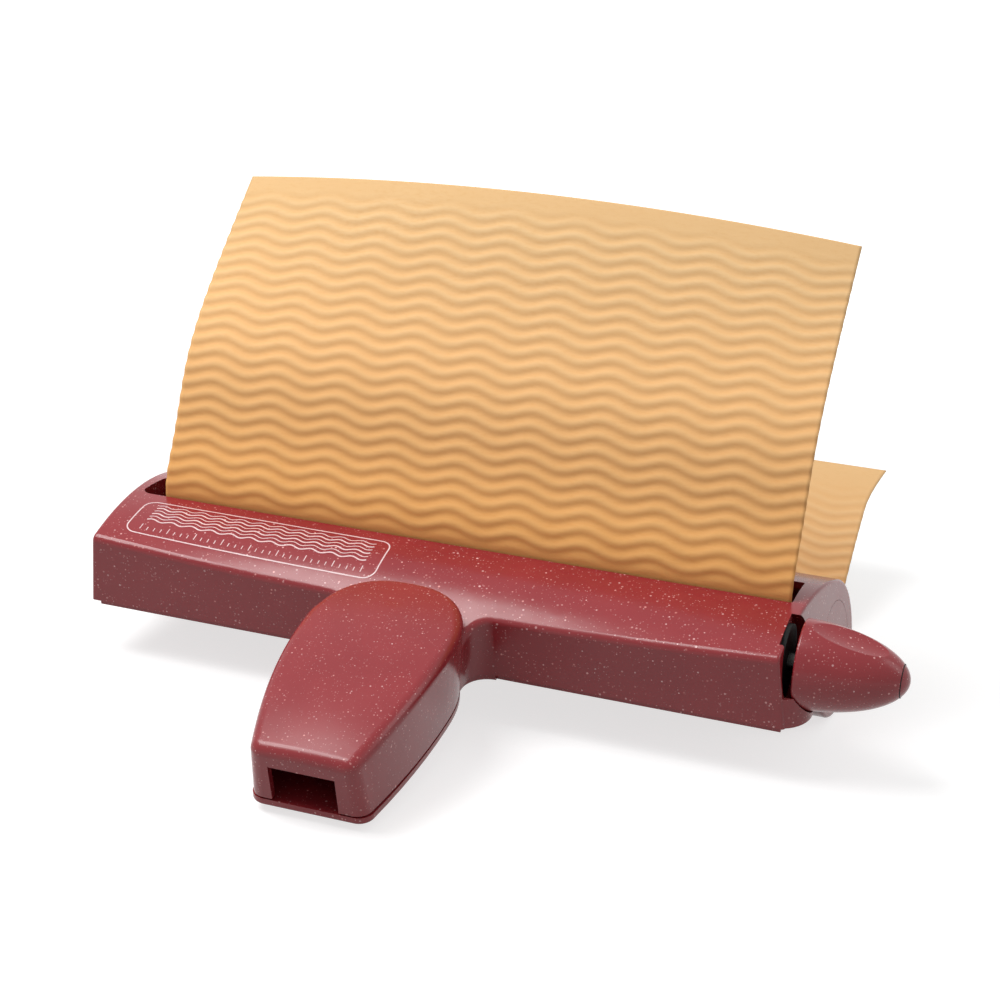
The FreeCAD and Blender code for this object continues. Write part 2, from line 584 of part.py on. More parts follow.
def make_lower_body():
    half = INNER_HALF - RUN
    top = FLOOR_TOP
    under = top - FLOOR_THICKNESS
    inner_back = HINGE_Y - LOWER_BARREL + WALL / 2
    reach = HALF_LENGTH - FLOOR_REACH
    floor = box(-half, half, WALL + RUN, inner_back, under, top)
    wings = box(-reach, reach, WALL + RUN, FLOOR_BACK, under, top)
    start = 180 - math.degrees(math.asin((top - HINGE_Z) / LOWER_BARREL))
    ring = sector(LOWER_BARREL - WALL, LOWER_BARREL, start, RING_END_DEG, -half, half,
                  HINGE_Y, HINGE_Z)
    trough = sector(TROUGH_INNER, TROUGH_INNER + WALL, 180.0, 360.0,
                    ROLLER_LEFT, ROLLER_RIGHT, PRESSURE_Y, PRESSURE_Z)
    trough = trough.common(box(-half, half, -FAR, FAR, -FAR, top))
    room = rod(TROUGH_INNER, -half, half, PRESSURE_Y, PRESSURE_Z)
    body = floor.fuse(wings).fuse(handle_plate()).fuse(ring).cut(room).fuse(trough)
    for side in (-1, 1):
        x0, x1 = sorted((side * half, side * (half - POST)))
        cheek = rod(LOWER_BARREL, x0, x1, HINGE_Y, HINGE_Z)
        body = body.fuse(cheek).fuse(post_block(side, x0, x1))
        x0, x1 = x0 - OVERLAP, x1 + OVERLAP
        body = body.cut(rod(BUSH_RADIUS, x0, x1, PRESSURE_Y, PRESSURE_Z))
        body = body.cut(rod(HINGE_PIN_RADIUS + FIT, x0, x1, HINGE_Y, HINGE_Z))
    exit_left = SHEET_X - SHEET_WIDTH / 2 - RUN
    exit_right = SHEET_X + SHEET_WIDTH / 2 + RUN
    inside, outside = LOWER_BARREL - 2 * WALL, LOWER_BARREL + 2 * WALL
    way_out = sector(inside, outside, EXIT_FROM_DEG, EXIT_TO_DEG,
                     exit_left, exit_right, HINGE_Y, HINGE_Z)
    way_in = sector(inside, outside, ENTRY_FROM_DEG, ENTRY_TO_DEG,
                    exit_left, exit_right, HINGE_Y, HINGE_Z)
    return body.cut(way_out).cut(way_in).removeSplitter()


# ---------------------------------------------------------------- rollers and knob
def flute_profile(x, y, z, ridge_deg):
    """Closed wavy outline of a crimping roller, with one ridge at a given angle."""
    points = []
    count = ROLLER_FLUTES * FLUTE_POINTS
    mean = (ROLLER_TIP + ROLLER_ROOT) / 2
    depth = (ROLLER_TIP - ROLLER_ROOT) / 2
    ridge = math.radians(ridge_deg)
    for i in range(count):
        a = 2 * math.pi * i / count
        r = mean + depth * math.cos(ROLLER_FLUTES * (a - ridge))
        points.append(V(x, y + r * math.cos(a), z + r * math.sin(a)))
    curve = Part.BSplineCurve()
    curve.interpolate(points, PeriodicFlag=True)
    return Part.Face(Part.Wire([curve.toShape()]))


def make_roller(y, z, ridge_deg):
    body = flute_profile(ROLLER_LEFT, y, z, ridge_deg).extrude(
        V(ROLLER_RIGHT - ROLLER_LEFT, 0, 0))
    return body.cut(rod(SHAFT_RADIUS, ROLLER_LEFT - OVERLAP, ROLLER_RIGHT + OVERLAP, y, z))


def knob_solid():
    """Half an ellipsoid, its flat base towards the crossbar."""
    centre = V(KNOB_BASE_X, DRIVE_Y, DRIVE_Z)
    tip = centre + V(KNOB_LENGTH, 0, 0)
    rim = centre + V(0, 0, KNOB_RADIUS)
    curve = Part.ArcOfEllipse(Part.Ellipse(tip, rim, centre), 0, math.pi / 2)
    profile = Part.Face(Part.Wire([
        curve.toShape(),
        Part.LineSegment(rim, centre).toShape(),
        Part.LineSegment(centre, tip).toShape(),
    ]))
    return profile.revolve(centre, X_AXIS, 360)


def along_knob(radius, start, end):
    """Cylinder on the knob's axis, between two distances from its base."""
    return rod(radius, KNOB_BASE_X + start, KNOB_BASE_X + end, DRIVE_Y, DRIVE_Z)


def scallop_tool(degrees):
    """Ring whose outer side carves a leaf-shaped hollow into the knob."""
    share = SCALLOP_X / KNOB_LENGTH
    surface_r = KNOB_RADIUS * math.sqrt(1 - share ** 2)
    slope = KNOB_RADIUS / KNOB_LENGTH * share / math.sqrt(1 - share ** 2)
    lean = math.atan(slope)
    reach = SCALLOP_ALONG - SCALLOP_DEPTH
    centre = V(KNOB_BASE_X + SCALLOP_X + reach * math.sin(lean), DRIVE_Y,
               DRIVE_Z + surface_r + reach * math.cos(lean))
    ring = Part.makeTorus(SCALLOP_ALONG - SCALLOP_ACROSS, SCALLOP_ACROSS, centre, V(0, 1, 0))
    ring.rotate(V(KNOB_BASE_X, DRIVE_Y, DRIVE_Z), X_AXIS, degrees)
    return ring


def make_knob():
    knob = knob_solid()
    base_edge = [e for e in knob.Edges if e.BoundBox.XMax < KNOB_BASE_X + NEAR]
    knob = knob.makeFillet(KNOB_BASE_ROUND, base_edge)
    for i in range(KNOB_SCALLOPS):
        knob = knob.cut(scallop_tool(360.0 * i / KNOB_SCALLOPS))
    knob = knob.cut(along_knob(KNOB_CAP_RADIUS, KNOB_CAP_FLOOR, FAR))
    knob = knob.cut(along_knob(SHAFT_RADIUS, -OVERLAP, KNOB_BORE))
    knob = knob.cut(along_knob(SCREW_RADIUS + FIT, KNOB_BORE - OVERLAP, KNOB_CAP_FLOOR))
    seat = KNOB_BORE + KNOB_WEB
    return knob.cut(along_knob(SCREW_HEAD + FIT, seat, KNOB_CAP_FLOOR + OVERLAP))


def make_knob_cap():
    """Plug that closes the knob's tip over its screw."""
    return knob_solid().common(along_knob(KNOB_CAP_RADIUS - KNOB_CAP_GAP, KNOB_CAP_FLOOR, FAR))


def make_knob_screw():
    seat = KNOB_BORE + KNOB_WEB
    head = along_knob(SCREW_HEAD, seat, seat + SCREW_HEAD_HEIGHT)
    shank = along_knob(SCREW_RADIUS, KNOB_BORE - SCREW_HOLE_DEPTH + SCREW_COVER, seat)
    return head.fuse(shank).removeSplitter()


# ---------------------------------------------------------------- sheet
def ribbon(path, thickness):
    """A strip of the sheet's width that follows a smooth path in the YZ plane."""
    x0 = SHEET_X - SHEET_WIDTH / 2
    curve = Part.BSplineCurve()
    curve.interpolate([V(x0, y, z) for y, z in path])
    offset = []
    for i in range(len(path)):
        t = curve.parameter(V(x0, *path[i]))
        tangent = curve.tangent(t)[0]
        normal = V(0, -tangent.z, tangent.y)
        offset.append(V(x0, *path[i]) + normal * thickness)
    other = Part.BSplineCurve()
    other.interpolate(offset)
    wire = Part.Wire([
        curve.toShape(),
        Part.LineSegment(V(x0, *path[-1]), offset[-1]).toShape(),
        other.toShape(),
        Part.LineSegment(offset[0], V(x0, *path[0])).toShape(),
    ])
    return Part.Face(wire).extrude(V(SHEET_WIDTH, 0, 0))


# ---------------------------------------------------------------- small metal and rubber pieces
def make_drive_shaft():
    shaft = rod(SHAFT_RADIUS, -INNER_HALF - BUSH_LENGTH + END_PLAY, KNOB_BASE_X + KNOB_BORE,
                DRIVE_Y, DRIVE_Z)
    return shaft.cut(along_knob(SCREW_RADIUS, KNOB_BORE - SCREW_HOLE_DEPTH, KNOB_BORE + OVERLAP))


def make_pressure_shaft():
    half = INNER_HALF - RUN
    return rod(SHAFT_RADIUS, -half, half, PRESSURE_Y, PRESSURE_Z)


def make_hinge_pin(side):
    inner = POST_INNER - SPRING_ROOM
    outer = end_x(HINGE_Y, HINGE_Z) - HINGE_CAP_DEPTH - HINGE_PIN_RADIUS * END_LEAN - END_PLAY
    x0, x1 = sorted((side * inner, side * outer))
    return rod(HINGE_PIN_RADIUS, x0, x1, HINGE_Y, HINGE_Z)


def make_opening_spring():
    """Spring strip wound round the left hinge pin."""
    return sector(SPRING_RADIUS, SPRING_RADIUS + SPRING_STRIP, -SPRING_WRAP_DEG, SPRING_WRAP_DEG,
                  -POST_INNER + SEAT_GAP, -POST_INNER + SEAT_GAP + SPRING_WIDTH, HINGE_Y, HINGE_Z)


def make_feet():
    """Rubber studs under the barrel, four at the ends and one in the middle."""
    barrel = rod(LOWER_BARREL, -FAR, FAR, 0, HINGE_HEIGHT)
    feet = []
    places = [(x, y) for x in (-FOOT_X, FOOT_X) for y in (-FOOT_Y, FOOT_Y)] + [(0.0, 0.0)]
    for x, y in places:
        stud = Part.makeCylinder(FOOT_RADIUS, FOOT_HEIGHT, V(x, y, 0))
        feet.append(stud.cut(barrel))
    return Part.makeCompound(feet)


def make_tip_foot():
    """Round pad under the handle's tip, already on the bench."""
    centre = place(Part.Vertex(V(HANDLE_X, HANDLE_TIP_Y + TIP_FOOT_BACK, 0))).Point
    pad = Part.makeCylinder(TIP_FOOT_RADIUS, FOOT_HEIGHT, V(centre.x, centre.y, 0))
    over = place(box(-FAR, FAR, -FAR, FAR, FLOOR_TOP - FLOOR_THICKNESS, FAR))
    return pad.cut(over)


# ---------------------------------------------------------------- build
def build():
    """Every piece, standing on the bench."""
    half = INNER_HALF - RUN
    tilted = {
        "upper_shell": make_upper_shell(),
        "palm_rest": make_palm_rest(),
        "palm_rest_screws": palm_screws(),
        "hinge_cap_left": make_hinge_cap(-1),
        "hinge_cap_right": make_hinge_cap(1),
        "hinge_pin_left": make_hinge_pin(-1),
        "hinge_pin_right": make_hinge_pin(1),
        "drive_bush_left": make_bush(*drive_bush_span(-1), DRIVE_Y, DRIVE_Z),
        "drive_bush_right": make_right_bush(),
        "drive_shaft": make_drive_shaft(),
        "drive_roller": make_roller(DRIVE_Y, DRIVE_Z, NIP_DEG),
        "drive_spacer": tube(BUSH_RADIUS, SHAFT_RADIUS, ROLLER_RIGHT,
                             drive_bush_span(1)[0] - END_PLAY, DRIVE_Y, DRIVE_Z),
        "knob": make_knob(),
        "knob_cap": make_knob_cap(),
        "knob_screw": make_knob_screw(),
        "lower_body": make_lower_body(),
        "pressure_bush_left": make_bush(-half, -half + POST, PRESSURE_Y, PRESSURE_Z),
        "pressure_bush_right": make_bush(half - POST, half, PRESSURE_Y, PRESSURE_Z),
        "pressure_shaft": make_pressure_shaft(),
        "pressure_roller": make_roller(PRESSURE_Y, PRESSURE_Z,
                                       NIP_DEG + 180 + 180 / ROLLER_FLUTES),
        "pressure_washer": tube(BUSH_RADIUS + WASHER_LIP, SHAFT_RADIUS, ROLLER_RIGHT,
                                ROLLER_RIGHT + WASHER, PRESSURE_Y, PRESSURE_Z),
        "opening_spring": make_opening_spring(),
        "front_sheet": ribbon(FRONT_SHEET_PATH, SHEET_THICKNESS),
    }
    parts = {name: place(shape) for name, shape in tilted.items()}
    parts["rear_feet"] = make_feet()
    parts["tip_foot"] = make_tip_foot()
    parts["rear_sheet"] = ribbon(REAR_SHEET_PATH, SHEET_THICKNESS)
    return parts


if __name__ == "__main__":
    os.makedirs("parts", exist_ok=True)
    for name, shape in build().items():
        print(name, len(shape.Solids), shape.isValid(), round(shape.Volume, 1))
        shape.exportStep("parts/" + name + ".step")
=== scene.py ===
import json
import math

import bmesh
import bpy
from mathutils import Matrix, Vector
from mathutils.bvhtree import BVHTree


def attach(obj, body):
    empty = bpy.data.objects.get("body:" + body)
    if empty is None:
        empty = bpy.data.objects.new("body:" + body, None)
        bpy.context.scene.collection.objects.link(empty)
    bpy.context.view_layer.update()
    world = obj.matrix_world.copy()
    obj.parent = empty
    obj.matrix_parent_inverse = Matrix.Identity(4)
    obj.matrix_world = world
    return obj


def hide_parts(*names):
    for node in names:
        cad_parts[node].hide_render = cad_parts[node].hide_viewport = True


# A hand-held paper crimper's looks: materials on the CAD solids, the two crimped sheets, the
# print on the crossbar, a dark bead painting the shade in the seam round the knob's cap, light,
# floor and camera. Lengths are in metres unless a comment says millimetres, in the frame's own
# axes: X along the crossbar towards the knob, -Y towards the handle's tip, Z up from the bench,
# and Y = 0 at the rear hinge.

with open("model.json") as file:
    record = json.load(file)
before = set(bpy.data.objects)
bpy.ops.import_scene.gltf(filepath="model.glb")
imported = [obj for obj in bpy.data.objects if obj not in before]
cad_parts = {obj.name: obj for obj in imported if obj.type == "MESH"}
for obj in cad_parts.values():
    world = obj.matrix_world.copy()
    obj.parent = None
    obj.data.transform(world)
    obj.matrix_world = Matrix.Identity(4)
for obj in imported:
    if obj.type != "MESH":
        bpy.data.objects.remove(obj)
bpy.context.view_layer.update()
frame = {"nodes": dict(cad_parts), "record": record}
scene = bpy.context.scene

MM = 0.001
WHITE = (1.0, 1.0, 1.0)

# ---------------------------------------------------------------- camera
CAMERA_PLACE = Vector((0.2093, -0.6069, 0.2842))
CAMERA_AZIMUTH = 18.59     # degrees from +Y towards -X
CAMERA_DOWN = 19.66
CAMERA_ROLL = 2.72
CAMERA_FOCAL_PX = 2020.4
FRAME_WIDTH_PX = 1000
SENSOR_MM = 36.0


def make_camera():
    a = math.radians(CAMERA_AZIMUTH)
    e = math.radians(CAMERA_DOWN)
    r = math.radians(CAMERA_ROLL)
    ahead = Vector((-math.sin(a) * math.cos(e), math.cos(a) * math.cos(e), -math.sin(e)))
    level = Vector((math.cos(a), math.sin(a), 0.0))
    over = level.cross(ahead)
    right = level * math.cos(r) + over * math.sin(r)
    up = over * math.cos(r) - level * math.sin(r)
    data = bpy.data.cameras.new("camera")
    data.sensor_width = SENSOR_MM
    data.lens = CAMERA_FOCAL_PX / FRAME_WIDTH_PX * SENSOR_MM
    camera = bpy.data.objects.new("camera", data)
    axes = Matrix((right, up, -ahead)).transposed().to_4x4()
    camera.matrix_world = Matrix.Translation(CAMERA_PLACE) @ axes
    scene.collection.objects.link(camera)
    scene.camera = camera


make_camera()

# ---------------------------------------------------------------- node helpers
NOISE_LOW, NOISE_HIGH = 0.3, 0.7       # nearly all noise lies between these
GRAIN_EDGE = 0.08 * MM                 # how soft a grain's outline is
GRAIN_SIZES = 1.2                      # above 1, most grains are smaller than half the largest


class Graph:
    """A node tree, with short calls for the nodes used here."""

    def __init__(self, tree):
        self.nodes = tree.nodes
        self.links = tree.links

    def put(self, socket, value):
        """Give a socket a number, a colour, a vector or another node's output."""
        if isinstance(value, bpy.types.NodeSocket):
            self.links.new(value, socket)
        elif socket.type == "RGBA":
            socket.default_value = (*value, 1)
        else:
            socket.default_value = value

    def node(self, kind, values=None, **settings):
        """A new node with its settings, and with values in its sockets by name or number."""
        node = self.nodes.new(kind)
        for name, value in settings.items():
            setattr(node, name, value)
        for socket, value in (values or {}).items():
            self.put(node.inputs[socket], value)
        return node

    def math(self, operation, a, b, clamp=False):
        node = self.node("ShaderNodeMath", {0: a, 1: b}, operation=operation, use_clamp=clamp)
        return node.outputs[0]

    def spread(self, source, low, high, to_low, to_high, shape="LINEAR"):
        """Take the range from low to high to another range, and clamp what lies outside."""
        values = {"Value": source, "From Min": low, "From Max": high,
                  "To Min": to_low, "To Max": to_high}
        node = self.node("ShaderNodeMapRange", values, interpolation_type=shape, clamp=True)
        return node.outputs[0]

    def seen_directly(self):
        """1 for rays that come from the camera, by a reflection or through glass, else 0."""
        rays = self.node("ShaderNodeLightPath").outputs
        seen = self.math("MAXIMUM", rays["Is Camera Ray"], rays["Is Glossy Ray"])
        return self.math("MAXIMUM", seen, rays["Is Transmission Ray"])


class Finish(Graph):
    """A new material's nodes. Its colour and roughness stand where nothing feeds them."""

    def __init__(self, name, color, roughness):
        self.material = bpy.data.materials.new(name)
        self.material.use_nodes = True
        super().__init__(self.material.node_tree)
        self.shader = self.nodes["Principled BSDF"]
        self.place = self.node("ShaderNodeTexCoord").outputs["Object"]
        self.set("Base Color", color)
        self.set("Roughness", roughness)

    def set(self, socket, value):
        self.put(self.shader.inputs[socket], value)

    def mix(self, amount, a, b):
        """A colour between a and b. Sockets 6 and 7 are the mix node's two colours."""
        return self.node("ShaderNodeMix", {0: amount, 6: a, 7: b}, data_type="RGBA").outputs[2]

    def gain(self, color, factors):
        """A colour times three factors."""
        node = self.node("ShaderNodeVectorMath", {0: color, 1: factors}, operation="MULTIPLY")
        return node.outputs[0]

    def attribute(self, name):
        return self.node("ShaderNodeAttribute", attribute_name=name).outputs["Fac"]

    def noise(self, size, detail, stretch=None):
        """Noise whose blobs are about a size across; stretch over 1 shortens them that way."""
        place = self.place
        if stretch:
            place = self.node("ShaderNodeMapping", {"Vector": place, "Scale": stretch}).outputs[0]
        values = {"Vector": place, "Scale": 1 / size, "Detail": detail}
        return self.node("ShaderNodeTexNoise", values).outputs["Fac"]

    def vary(self, noise, low, high):
        """Noise taken to the range from low to high."""
        return self.spread(noise, NOISE_LOW, NOISE_HIGH, low, high)

    def dots(self, cell, largest):
        """Scattered round grains, one to a cell: their mask and two random numbers for each."""
        cells = self.node("ShaderNodeTexVoronoi", {"Vector": self.place, "Scale": 1 / cell})
        random = self.node("ShaderNodeSeparateColor", {0: cells.outputs["Color"]}).outputs
        radius = self.math("POWER", random[0], GRAIN_SIZES)
        radius = self.math("MULTIPLY", radius, largest / cell)
        inside = self.math("SUBTRACT", radius, cells.outputs["Distance"])
        mask = self.math("DIVIDE", inside, GRAIN_EDGE / cell, clamp=True)
        return mask, random[1], random[2]

    def bump(self, height, distance):
        values = {"Height": height, "Distance": distance, "Strength": 1.0}
        self.set("Normal", self.node("ShaderNodeBump", values).outputs[0])


# ---------------------------------------------------------------- light and floor
scene.view_settings.view_transform = "Standard"
SKY_LOW = 0.07             # soft light from the horizon
SKY_HIGH = 0.62            # and from straight above
LAMPS = {                  # place, aim, width and height, watts
    "key": ((-0.45, -0.25, 1.0), (0, 0, 0.03), (0.6, 0.6), 10.5),
    "edge": ((0.75, 0.15, 0.5), (0.1, 0, 0.03), (0.3, 0.5), 0.7),
}
FLOOR_HALF = 3.0           # half its side
FLOOR_Z = -0.2 * MM        # just under the feet
FLOOR_COLOR = (0.44, 0.44, 0.44)
FLOOR_GLOW = 0.70          # lifts the floor to near white round the object
FLOOR_GLOW_NEAR = 0.24     # as far from the middle as this,
FLOOR_GLOW_FAR = 0.55      # and it is at full white from here on
FULL_WHITE = 1.0


def make_world():
    """Soft light, strongest from above, and white wherever the world itself is seen."""
    world = bpy.data.worlds.new("studio")
    scene.world = world
    world.use_nodes = True
    g = Graph(world.node_tree)
    g.nodes.clear()
    direction = g.node("ShaderNodeTexCoord").outputs["Generated"]
    height = g.node("ShaderNodeSeparateXYZ", {0: direction}).outputs["Z"]
    strength = g.spread(height, 0.0, 1.0, SKY_LOW, SKY_HIGH)
    soft = g.node("ShaderNodeBackground", {"Color": WHITE, "Strength": strength})
    white = g.node("ShaderNodeBackground", {"Color": WHITE, "Strength": FULL_WHITE})
    both = g.node("ShaderNodeMixShader",
                  {0: g.seen_directly(), 1: soft.outputs[0], 2: white.outputs[0]})
    g.node("ShaderNodeOutputWorld", {"Surface": both.outputs[0]})


def make_lamp(name, place, aim, size, power):
    data = bpy.data.lights.new(name, "AREA")
    data.shape = "RECTANGLE"
    data.size, data.size_y = size
    data.energy = power
    lamp = bpy.data.objects.new(name, data)
    lamp.location = place
    ahead = Vector(aim) - Vector(place)
    lamp.rotation_euler = ahead.to_track_quat("-Z", "Y").to_euler()
    scene.collection.objects.link(lamp)


def floor_material():
    """Matte, so that it takes the shadow, with a glow that only shows where it is seen."""
    material = bpy.data.materials.new("floor")
    material.use_nodes = True
    g = Graph(material.node_tree)
    g.nodes.clear()
    place = g.node("ShaderNodeTexCoord").outputs["Object"]
    distance = g.node("ShaderNodeVectorMath", {0: place}, operation="LENGTH").outputs["Value"]
    strength = g.spread(distance, FLOOR_GLOW_NEAR, FLOOR_GLOW_FAR, FLOOR_GLOW, FULL_WHITE,
                        shape="SMOOTHSTEP")
    strength = g.math("MULTIPLY", strength, g.seen_directly())
    matte = g.node("ShaderNodeBsdfDiffuse", {"Color": FLOOR_COLOR})
    glow = g.node("ShaderNodeEmission", {"Color": WHITE, "Strength": strength})
    both = g.node("ShaderNodeAddShader", {0: matte.outputs[0], 1: glow.outputs[0]})
    g.node("ShaderNodeOutputMaterial", {"Surface": both.outputs[0]})
    return material


def make_floor():
    mesh = bpy.data.meshes.new("floor")
    corners = [(x * FLOOR_HALF, y * FLOOR_HALF, FLOOR_Z)
               for x, y in ((-1, -1), (1, -1), (1, 1), (-1, 1))]
    mesh.from_pydata(corners, [], [(0, 1, 2, 3)])
    mesh.materials.append(floor_material())
    floor = bpy.data.objects.new("floor", mesh)
    scene.collection.objects.link(floor)


make_world()
make_floor()
for lamp_name, lamp_values in LAMPS.items():
    make_lamp(lamp_name, *lamp_values)

# ---------------------------------------------------------------- materials
BURGUNDY = (0.290, 0.024, 0.030)
BURGUNDY_DEEP = (0.262, 0.020, 0.026)
SPECKLE = (0.80, 0.50, 0.50)
SPECKLE_WARM = (0.72, 0.26, 0.24)
SPECKLE_FAINT = 0.30       # strength of the faintest grains
SPECKLE_FEW_BRIGHT = 1.8   # above 1, most grains are nearer to faint
SMALL_GRAINS = 0.6         # size, spacing and strength of the second, smaller kind of grains

PAPER_SHADED_FOOT = (0.80, 0.395, 0.125)      # where it comes out of the tool, made darker with painted shade
PAPER_MIDDLE = (0.85, 0.485, 0.205)
PAPER_END = (0.745, 0.470, 0.220)      # at its free end
FOOT_UNTIL = 0.10                      # shares of a sheet's length that have these colours
MIDDLE_AT = 0.50
END_FROM = 0.95
CREST_PAINTED_HIGHLIGHT = (1.03, 1.10, 1.20)        # painted highlight: how much paler the paper is made over a ridge
PAINTED_HIGHLIGHT_FROM = 0.35                      # where that painted highlight starts, a share of the way up from valley to ridge
FIBRE_GAIN = (0.95, 0.89, 0.82)        # how much darker where its fibres show
FIBRES_SHOW = 0.6                      # at most this much of that, from fibres
PATCHES_SHOW = 0.3                     # and this much, from larger patches


def speckled_plastic(name, cell, largest):
    """Glossy burgundy moulding with pale grains in it."""
    g = Finish(name, BURGUNDY, 0.30)
    cloud = g.vary(g.noise(20 * MM, 2.0), 0.0, 1.0)
    color = g.mix(cloud, BURGUNDY_DEEP, BURGUNDY)
    for share in (1.0, SMALL_GRAINS):
        mask, bright, warm = g.dots(cell * share, largest * share)
        bright = g.math("POWER", bright, SPECKLE_FEW_BRIGHT)
        bright = g.spread(bright, 0.0, 1.0, SPECKLE_FAINT, share)
        tint = g.mix(warm, SPECKLE_WARM, SPECKLE)
        color = g.mix(g.math("MULTIPLY", mask, bright), color, tint)
    g.set("Base Color", color)
    g.set("Roughness", g.vary(g.noise(12 * MM, 1.0), 0.22, 0.26))
    g.set("IOR", 1.49)
    g.set("Specular IOR Level", 0.42)
    g.bump(g.noise(2.5 * MM, 1.0), 0.002 * MM)
    return g.material


def satin_plastic(name, color, deep, roughness, gloss=0.5):
    """Plain moulding with a slightly uneven sheen."""
    g = Finish(name, color, roughness)
    g.set("Base Color", g.mix(g.noise(6 * MM, 3.0), deep, color))
    g.set("Roughness", g.vary(g.noise(3 * MM, 2.0), roughness - 0.05, roughness + 0.08))
    g.set("Specular IOR Level", gloss)
    g.bump(g.noise(0.6 * MM, 2.0), 0.02 * MM)
    return g.material


def turned_steel(name, color, deep):
    """Steel with fine turning marks round X."""
    g = Finish(name, color, 0.28)
    streak = g.noise(1.2 * MM, 3.0, stretch=(8.0, 1.0, 1.0))
    g.set("Metallic", 1.0)
    g.set("Base Color", g.mix(streak, deep, color))
    g.set("Roughness", g.vary(streak, 0.22, 0.38))
    g.bump(streak, 0.012 * MM)
    return g.material


def rubber(name):
    g = Finish(name, (0.025, 0.025, 0.026), 0.75)
    g.set("Base Color", g.mix(g.noise(3 * MM, 4.0), (0.018, 0.018, 0.019), (0.04, 0.04, 0.04)))
    g.set("Roughness", g.vary(g.noise(1 * MM, 2.0), 0.68, 0.85))
    g.bump(g.noise(0.4 * MM, 2.0), 0.04 * MM)
    return g.material


def crimped_paper(name):
    """Light orange craft paper with fine fibres; a painted highlight makes it paler over each
    ridge, and painted shade makes it darker at its foot.
    """
    g = Finish(name, PAPER_SHADED_FOOT, 0.82)
    along = g.attribute("along")
    # painted shade: darker towards the foot, where the sheet comes out of the tool
    color = g.mix(g.spread(along, FOOT_UNTIL, MIDDLE_AT, 0.0, 1.0), PAPER_SHADED_FOOT, PAPER_MIDDLE)
    color = g.mix(g.spread(along, MIDDLE_AT, END_FROM, 0.0, 1.0), color, PAPER_END)
    # painted highlight: a paler colour over each ridge, by how high the paper stands there
    crest = g.spread(g.attribute("crest"), PAINTED_HIGHLIGHT_FROM, 1.0, 0.0, 1.0)
    color = g.mix(crest, color, g.gain(color, CREST_PAINTED_HIGHLIGHT))
    fibre = g.noise(0.9 * MM, 5.0, stretch=(0.35, 1.0, 1.0))
    fibres = g.spread(fibre, 0.45, 0.75, 0.0, FIBRES_SHOW)
    patches = g.vary(g.noise(30 * MM, 2.0), 0.0, PATCHES_SHOW)
    darker = g.math("MAXIMUM", fibres, patches)
    color = g.mix(darker, color, g.gain(color, FIBRE_GAIN))
    g.set("Base Color", color)
    g.set("Roughness", g.vary(fibre, 0.74, 0.90))
    g.set("Specular IOR Level", 0.25)
    g.bump(fibre, 0.04 * MM)
    return g.material


def pale_print(name):
    """Pale ink, worn through here and there."""
    g = Finish(name, (0.80, 0.62, 0.63), 0.45)
    worn = g.spread(g.noise(0.7 * MM, 3.0), 0.35, 0.75, 0.0, 0.5)
    g.set("Base Color", g.mix(worn, (0.82, 0.64, 0.65), (0.55, 0.30, 0.32)))
    return g.material


LOOKS = {                  # for each of the record's material slots
    "speckled_burgundy": speckled_plastic("speckled_burgundy", 1.4 * MM, 0.42 * MM),
    "acetal_white": satin_plastic("acetal_white", (0.74, 0.73, 0.69), (0.66, 0.65, 0.60), 0.38),
    "acetal_black": satin_plastic("acetal_black", (0.010, 0.011, 0.011), (0.007, 0.008, 0.008),
                                  0.6, gloss=0.15),
    "roller_grey": satin_plastic("roller_grey", (0.15, 0.15, 0.16), (0.10, 0.10, 0.11), 0.42),
    "steel": turned_steel("steel", (0.68, 0.68, 0.68), (0.50, 0.50, 0.51)),
    "foot_rubber": rubber("foot_rubber"),
    "orange_paper": crimped_paper("orange_paper"),
}
OWN_LOOKS = {              # for nodes that differ a little from their slot
    "palm_rest": speckled_plastic("speckled_burgundy_fine", 1.1 * MM, 0.32 * MM),
    # painted shade: the drive shaft is made near black so it stays dark in the shaded recess where
    # it shows
    "drive_shaft": turned_steel("steel_painted_shade", (0.075, 0.073, 0.070), (0.045, 0.044, 0.042)),
}


def dress_nodes():
    """Give each CAD node its own look, or else that of its material slot."""
    slots = {part["node"]: part["material_slot"] for part in frame["record"]["subparts"]}
    for node, obj in frame["nodes"].items():
        look = OWN_LOOKS.get(node, LOOKS[slots[node]])
        obj.data.materials.clear()
        obj.data.materials.append(look)


dress_nodes()

# ---------------------------------------------------------------- shared by the pieces
TILT = math.radians(9.7)   # how far the mouldings' frame leans on the bench
HINGE_Y = 57.5 * MM        # the rear hinge's axis in that frame
HINGE_Z = -5.5 * MM
HINGE_HEIGHT = 23.0 * MM   # and over the bench


def on_bench(x, y, z):
    """From the mouldings' tilted frame, with the crossbar's front wall at Y = 0, to the bench."""
    dy, dz = y - HINGE_Y, z - HINGE_Z
    return Vector((x, dy * math.cos(TILT) - dz * math.sin(TILT),
                   dy * math.sin(TILT) + dz * math.cos(TILT) + HINGE_HEIGHT))


def join_rings(build, rings, closed, smooth):
    """Faces between each ring of vertices and the next, and round to the first if closed."""
    following = rings[1:] + rings[:1] if closed else rings[1:]
    for a, b in zip(rings, following):
        for k in range(len(a)):
            after = (k + 1) % len(a)
            face = build.faces.new((a[k], b[k], b[after], a[after]))
            face.smooth = smooth


def to_piece(name, build, material):
    """A piece in the scene from a bmesh."""
    mesh = bpy.data.meshes.new(name)
    build.to_mesh(mesh)
    build.free()
    mesh.materials.append(material)
    piece = bpy.data.objects.new(name, mesh)
    scene.collection.objects.link(piece)
    return piece


